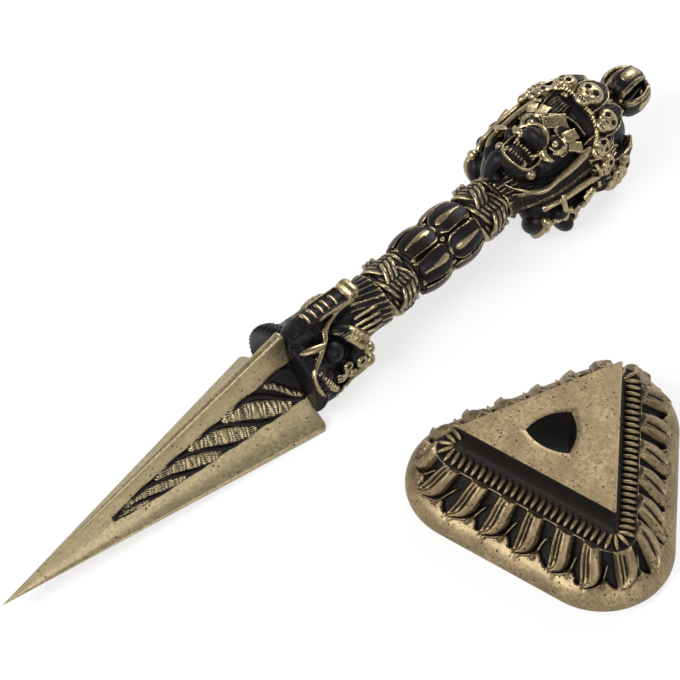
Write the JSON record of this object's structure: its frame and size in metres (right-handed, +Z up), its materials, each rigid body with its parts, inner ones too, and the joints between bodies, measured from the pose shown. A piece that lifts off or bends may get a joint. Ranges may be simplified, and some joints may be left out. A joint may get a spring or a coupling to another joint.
{
  "type": "phurba with lotus stand",
  "caption": "Three-edged ritual dagger with makara guard, lotus grip, wrathful heads and skull crown, lying beside its triangular lotus stand.",
  "frame": {"origin": "middle of the stand's blade socket, on the plane that the stand and the dagger lie on", "axes": "+X along the lying dagger from its point to its finial, +Z up, the dagger on the +Y side of the stand"},
  "size_m": [0.1651, 0.0924, 0.0273],
  "materials": {
    "bright_brass": "antique brass, wiped bright on the raised surfaces, pitted",
    "dark_brass": "near-black patina in the carving, rubbed bright on the ridges",
    "stand_brass": "antique brass with dark grooves between the petals",
    "steel_rod": "plain turned steel, hidden inside"
  },
  "bodies": {
    "stand": {"stand": "stand_brass"},
    "dagger": {"blade": "bright_brass", "tie_rod": "steel_rod", "makara_guard": "dark_brass", "lower_knot": "dark_brass", "grip": "dark_brass", "upper_knot": "dark_brass", "head": "dark_brass", "skull_crown": "dark_brass", "topknot": "dark_brass", "finial": "dark_brass"}
  },
  "joints": [
    {"name": "dagger_lift", "type": "slide", "parent": "stand", "child": "dagger", "axis": [0, 0, 1], "range_m": [0, 0.12]}
  ]
}
